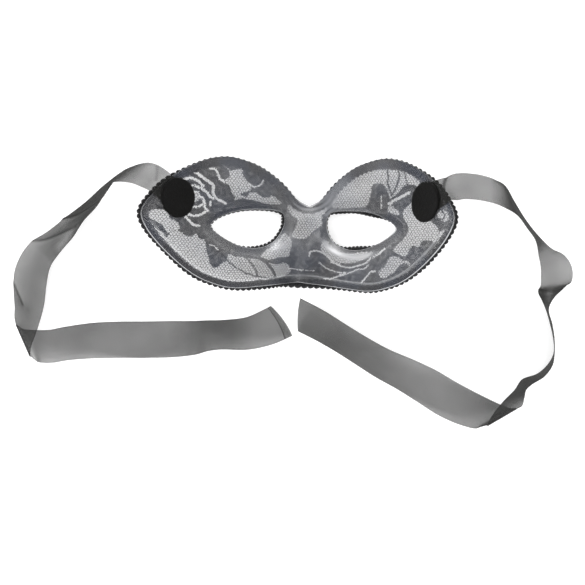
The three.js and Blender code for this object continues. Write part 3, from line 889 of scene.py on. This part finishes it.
# Felt discs. A round patch punched from black pressed felt, glued inside each temple over the
# end of the ribbon.
disc_middle = np.array([71.2, 13.5])
disc_radius = 11.5
rim_ring = 0.35
inner_rings = 8
ring_width = (disc_radius - rim_ring) / (inner_rings + 1)
felt_level = 1.55
felt_thickness = 1.1
beside_x = disc_middle[0] + np.array([-1, 1])
beside = on_sheet(beside_x, disc_middle[[1, 1]])
flat_share = 2 / np.linalg.norm(beside[1] - beside[0])

black_felt, tree, shader = new_material(
    "black_felt", Roughness=0.95, Sheen_Weight=0.04, Specular_IOR_Level=0.15
)
place = put(tree, "ShaderNodeTexCoord", give="Object")
fibres = noise(place, 1400, 5, Distortion=1.2)
shade = fibres * mottled(place, 600, 120)
feed(shader, Base_Color=blend(shade, (0.001, 0.001, 0.001), (0.011, 0.0105, 0.01)))
add_relief(shader, fibres, 0.8, 0.0005)
for side, hand in (("left", -1), ("right", 1)):
    bpy.ops.mesh.primitive_cylinder_add(vertices=96, radius=disc_radius, depth=felt_thickness)
    disc = bpy.context.object
    disc.name = f"felt_patch_{side}"
    select_faces(disc, [abs(polygon.normal.z) > 0.9 for polygon in disc.data.polygons])
    for thickness in [rim_ring] + [ring_width] * inner_rings:
        bpy.ops.mesh.inset(thickness=thickness)
    bpy.ops.object.mode_set(mode="OBJECT")
    x, y, level = mesh_points(disc).T
    angle = np.arctan2(y, x)
    ragged = 1 + 0.008 * np.sin(7 * angle + hand) + 0.006 * np.sin(17 * angle)
    ragged += 0.004 * np.sin(41 * angle + 2)
    round_over = 1 - 0.35 * ease(disc_radius - 0.3, disc_radius + 0.05, np.hypot(x, y))
    pillow = level * round_over + 0.05 * np.sin(x * 1.7) * np.sin(y * 1.3)
    put_on_table(disc, off_sheet(
        hand * (disc_middle[0] + x * ragged * flat_share),
        disc_middle[1] + y * ragged,
        felt_level + felt_thickness / 2 + pillow,
    ))
    edit(disc, bpy.ops.mesh.normals_make_consistent)
    disc.data.materials.append(black_felt)
    disc.data.shade_smooth()
    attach(disc, "root")
    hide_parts(f"felt_disc_{side}")


# Tie ribbons. Sheer black organza ribbon with woven selvedges, its end glued under the felt
# and the rest loose. It bends stiffly, twists as it falls and folds flat where it turns back.
ribbon_width = 21.5
ribbon_thickness = 0.18
thread_pitch = 0.42
glued_start = [(1.5, 11), (0, 0.5), (-1.5, -9.5)]
glued_shares = [0, 0.4, 0.8, 1.1]
glued_level = 0.85
fold_radius = 1.2
hem_width = 3.5
hem_lift = -0.32
step_along = 0.8
steps_across = 24
ribbon_map_length = 400
end_margin = 0.7
trimmed_length = 20
crease_shoulder = 1.5
# A row of a route holds a point near the outer selvedge and one near the inner. The cover table
# holds distances from the glued end and what they add to the cover, as closer weave and as painted
# shade and painted light. A crease holds its height, what it adds to the cover and how far, and its
# line of distances and shares of the width.
# longer and bulge are the length left past the route at the cut end, and its curve.
ribbon_lies = {
    "left": {
        "hand": -1,
        "edge_crossing": [(74.5, 26.5), (78.75, 20.75), (83, 15)],
        "route": [
            (-81.5, 31.5, 33.7, -88, 18, 49.2), (-88, 33.5, 33, -94, 20, 49),
            (-101.5, 30.7, 27, -106.3, 20.2, 45), (-107.3, 27.9, 24, -109.7, 15.3, 41.6),
            (-118.6, 21, 17.2, -117.2, 7.4, 34.2), (-129.6, 12.6, 11.4, -125.9, -0.1, 28.5),
            (-141, 4.5, 7.6, -133.5, -9, 22.3), (-153, -4.6, 6, -142.2, -18, 18.5),
            (-165.1, -13.7, 7.5, -148.9, -26.3, 14), (-172, -27.5, 8.5, -152, -36, 9.5),
            (-173, -41, 6.5, -153, -49, 10), (-173, -50, 4.5, -156, -63.5, 11),
            (-173, -56.5, 3, -160.5, -73.5, 8.4),
        ],
        "crease": (-172.6, -60.5, 0.3, -162, -79.6, 3.8),
        "tail": [
            (-168.5, -62.5, 0.3, -158.2, -82.4, 3.4), (-161, -63.5, 0.3, -153.7, -82.6, 6.8),
            (-152, -63.5, 0.6, -146.2, -81.8, 8), (-143.5, -61.5, 0.6, -139.5, -80.5, 8),
            (-127, -58.5, 0.3, -124.5, -79, 5), (-111, -57, 0.3, -109.5, -78.5, 2),
            (-95, -56.5, 0.3, -93.5, -78, 0.6), (-79.5, -56, 0.5, -77.5, -77, 3.5),
            (-64.5, -55.5, 0.7, -62, -75, 9), (-57, -55.2, 0.8, -54.5, -72.6, 12),
            (-49, -55, 0.9, -47, -71.2, 13),
            (-34, -53, 0.8, -31, -70.6, 10), (-25, -48.5, 0.6, -17.5, -67.5, 5),
            (-20.5, -45.5, 1, -7, -63, 1.5),
        ],
        "length": 0.318,
        "longer": 0.6,
        "bulge": 1.2,
        "closer_weave": [
            (0, 0.27), (9.5, 0.27), (11, -0.04), (15, -0.12), (32, -0.14), (44, -0.03), (56, 0.04),
            (88, 0.03), (95, 0), (112, 0.04), (116, 0), (127, 0.04), (150, 0.05), (175, -0.05),
            (205, 0), (260, 0.01), (275, 0.08), (300, 0.09), (312, 0.01),
        ],
        "creases": [
            (0.9, 0.3, 0.6, [(94, 0), (86.5, 0.25), (75.7, 0.55), (61.7, 0.81), (55.6, 0.92)]),
            (0, 0.1, 4, [(84, 0.02), (72, 0.3), (62, 0.6)]),
            (0, -0.16, 4, [(84, 0.74), (92, 0.76), (102, 0.8)]),
            (0.7, 0.22, 0.6, [(114, 0), (110, 0.19), (102, 0.39), (91.5, 0.63), (84.6, 0.83)]),
            (0.7, 0.2, 0.6, [(138, 0), (143, 0.14), (149, 0.34)]),
            (0, 0.06, 4, [(149, 0.2), (150, 0.5)]),
            (0.4, 0.12, 0.6, [(22, 0.07), (16.6, 0.56)]),
        ],
    },
    "right": {
        "hand": 1,
        "edge_crossing": [(74.5, 25), (79.25, 18.75), (84, 12.5)],
        "route": [
            (80.5, 27.5, 35, 88, 13.5, 49.5), (86, 30, 33.5, 92, 14, 48),
            (97.5, 30, 30, 100.5, 14, 44.5), (108.5, 27.5, 26, 109, 12.5, 41.5),
            (113.5, 25, 23, 113, 11, 39.5), (119, 16.5, 17.3, 120.5, 7, 36.5),
            (125, 7.5, 12.5, 126, 0.5, 32.5), (132.5, -1.5, 9, 131, -6.5, 30),
            (141, -9.5, 9, 133, -15, 28), (146.5, -12, 10, 134, -19, 26),
            (150.5, -16.5, 11, 134.5, -22.5, 24), (152.5, -22, 11, 134.5, -26.5, 22.5),
            (152, -28, 9, 134.5, -30.5, 22), (148, -31.5, 6, 133.5, -34.5, 21.5),
            (142.5, -37, 2, 135.5, -39, 22), (140, -43, 0.8, 137.8, -44.5, 22.3),
            (142.3, -52, 0.4, 140.3, -52.5, 22), (143.6, -60, 0.4, 142.1, -60, 22),
            (143.9, -68, 0.4, 142.6, -67.5, 22), (142.9, -75, 0.4, 139.8, -73.8, 22),
            (138.5, -81.5, 0.4, 134, -79.6, 21.6), (131.5, -86.3, 0.4, 125.5, -83.2, 21),
            (128.3, -89.5, 0.4, 121.8, -89, 20.4), (127.4, -94, 0.4, 115.5, -96, 17.8),
            (126, -98.8, 2.6, 109, -105.2, 13.8),
        ],
        "crease": (123.4, -100.4, 0.3, 107.2, -110.2, 10.6),
        "tail": [
            (120, -100, 0.3, 103.2, -111, 10), (115.5, -98.8, 0.5, 100.5, -112, 9),
            (102, -92.8, 0.8, 90, -109.8, 7), (89.2, -86.7, 2.5, 78.5, -104.9, 4),
            (76.9, -80.1, 5, 66.9, -98, 1.2), (64, -74.5, 9, 55, -91, 0.6),
            (51, -69, 12, 42.5, -85, 0.5), (38.5, -62.5, 13.5, 30.5, -78, 0.4),
            (26, -55.5, 13.5, 19, -71, 0.4), (13, -48, 12, 8, -65, 0.4),
            (-0.5, -41.5, 10, -2.5, -60, 0.3),
        ],
        "length": 0.328,
        "longer": 1.2,
        "bulge": 0.8,
        "closer_weave": [
            (0, 0.27), (9.5, 0.27), (11, -0.03), (15, -0.09), (30, -0.12), (42, -0.16), (50, -0.04),
            (62, 0.18), (76, 0.2), (83, -0.15), (92, -0.2), (98, -0.07), (112, -0.02), (116, 0.22),
            (121, 0.22), (124, 0), (128, 0), (132, 0.15), (160, 0.15), (180, 0.08), (215, 0.06),
            (240, 0.02), (262, 0), (285, 0.06), (340, 0.1),
        ],
        "creases": [
            (0.6, 0.35, 0.6, [(20, 0.0), (17, 0.3), (14.9, 0.54), (12, 0.9)]),
            (0.8, 0.16, 0.8, [(114.4, 0), (117.3, 0.13), (117.7, 0.52), (115.2, 0.97)]),
            (0.5, 0.2, 0.7, [(46, 0.02), (56, 0.1), (68, 0.3)]),
            (0, -0.28, 4, [(118.5, 0.5), (121.5, 0.4)]),
        ],
    },
}


def route_row(row):
    """The two selvedges, a ribbon's width apart, and their middle. A row holds a point near each."""
    outer, inner = np.reshape(row, (2, 3))
    middle = (outer + inner) / 2
    half = (inner - outer) * ribbon_width / 2 / np.linalg.norm(inner - outer)
    return [middle - half, middle, middle + half]


def fold_rows(hand, crease):
    """The ribbon turns half round a crease, from its upper layer to its lower."""
    outer, inner = np.reshape(crease, (2, 3))
    away = np.array([outer[1] - inner[1], inner[0] - outer[0], 0]) * hand
    away /= np.linalg.norm(away)
    rows = []
    for angle in np.radians([45, 90, 135]):
        step = away * (math.sin(angle) - 1) + np.array([0, 0, 1 + math.cos(angle)])
        rows.append(route_row([outer + fold_radius * step, inner + fold_radius * step]))
    return rows


def ribbon_spot(lines, runs, run, across):
    """Points of the ribbon at these distances from its glued end and shares of its width."""
    outer, middle, inner = (between(run, runs, line) for line in lines)
    t = across[:, None]
    return outer * (1 - t) * (1 - 2 * t) + middle * 4 * t * (1 - t) + inner * t * (2 * t - 1)


def lay_ribbon(lines, runs, lie, run, across, lift):
    """The same lifted off the ribbon's face, with the loose end cut to its own slight curve."""
    whole = runs[-1]
    held = np.clip(run, end_margin, whole - end_margin)
    along = ribbon_spot(lines, runs, held + 0.6, across) - ribbon_spot(lines, runs, held - 0.6, across)
    over = ribbon_spot(lines, runs, held, across + 0.02) - ribbon_spot(lines, runs, held, across - 0.02)
    lifted = unit(np.cross(along, over)) * np.reshape(lift, (-1, 1))
    onward = lines[1][-1] - lines[1][-8]
    past_end = lie["longer"] + lie["bulge"] * (1 - (2 * across - 1) ** 2)
    trimmed = (past_end * ease(whole - trimmed_length, whole, run))[:, None] * onward / np.linalg.norm(onward)
    return ribbon_spot(lines, runs, run, across) + lifted + trimmed


organza, tree, shader = new_material(
    "black_organza", Base_Color=(0.022, 0.022, 0.021), Roughness=0.7, Specular_IOR_Level=0.08
)
ribbon_map = put(tree, "ShaderNodeUVMap", uv_map="ribbon")
along_share, across_share = parts(ribbon_map)[:2]
warp = calculate("SINE", across_share * (ribbon_width * 2 * math.pi / thread_pitch))
weft = calculate("SINE", along_share * (ribbon_map_length * 2 * math.pi / thread_pitch))
weave = calculate("MAXIMUM", warp, weft)
from_edge = 0.5 - calculate("ABSOLUTE", across_share - 0.5)
selvedge = remap(from_edge, 0.02, 0.035, 0.05, 0)
drift = noise(put(tree, "ShaderNodeMapping", Vector=ribbon_map, Scale=(16, 1.2, 1)), 1, 1)
# The marked cover carries closer weave, pleats, and painted shade and painted light along the ribbon.
cover = weave * 0.03 + 0.6 + selvedge + drift * 0.12 + mark(tree, "gather")
open_share = calculate("MAXIMUM", 1 - cover, 0.01)
slant = calculate("MAXIMUM", 1 - put(tree, "ShaderNodeLayerWeight", give="Facing"), 0.1)
feed(shader, Alpha=on_near_wall(1 - open_share ** (1 / slant)))
add_relief(shader, weave, 0.3, 0.0001)


def finish_ribbon(piece, run, across, gather):
    """Gives a strip of ribbon its map, its closeness of weave with painted shade and light, its thickness and
    its material.
    """
    add_uv(piece, "ribbon", run / ribbon_map_length, across)
    add_marks(piece, gather=gather)
    piece.data.materials.append(organza)
    apply_modifier(piece, "SOLIDIFY", thickness=ribbon_thickness * MM, offset=0)
    bpy.ops.object.shade_smooth_by_angle(angle=math.radians(60))
    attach(piece, "root")


for side, lie in ribbon_lies.items():
    glued = disc_middle + glued_start
    rows = []
    for share in glued_shares:
        spot = glued + (lie["edge_crossing"] - glued) * share
        rows.append(off_sheet(lie["hand"] * spot[:, 0], spot[:, 1], glued_level))
    rows += [route_row(row) for row in lie["route"]]
    rows += fold_rows(lie["hand"], lie["crease"])
    rows += [route_row(row) for row in lie["tail"]]
    lines = [curve_through(line, per_span=12) for line in np.swapaxes(rows, 0, 1)]
    runs = run_along(lines[1])
    ribbon, along, across = new_grid(f"organza_tie_{side}", round(runs[-1] / step_along), steps_across)
    run = along * runs[-1]
    gather = np.interp(run, *np.array(lie["closer_weave"], float).T)
    lift = np.zeros(len(run))
    # A narrow crease adds a pleat's double layer. A broad crease of no height adds painted shade where it
    # adds cover, and painted light where it takes cover away.
    for height, closer, reach, crease in lie["creases"]:
        crease_line = curve_through(np.array(crease) * (1, ribbon_width), per_span=6)
        gap = nearest_on(run, across * ribbon_width, crease_line)[0]
        lift += height * np.exp(-gap / crease_shoulder)
        gather += closer * fade(gap, 0, reach)
    put_on_table(ribbon, lay_ribbon(lines, runs, lie, run, across, lift))
    finish_ribbon(ribbon, run, across, gather)
    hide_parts(f"ribbon_{side}")
    if side == "left":
        hem, along, across = new_grid("organza_hem_left", 5, steps_across)
        run = runs[-1] - hem_width * (1 - along)
        put_on_table(hem, lay_ribbon(lines, runs, lie, run, across, hem_lift))
        stitching_and_flap = np.where(along < 0.15, 0.2, -0.38)
        finish_ribbon(hem, run, across, stitching_and_flap)
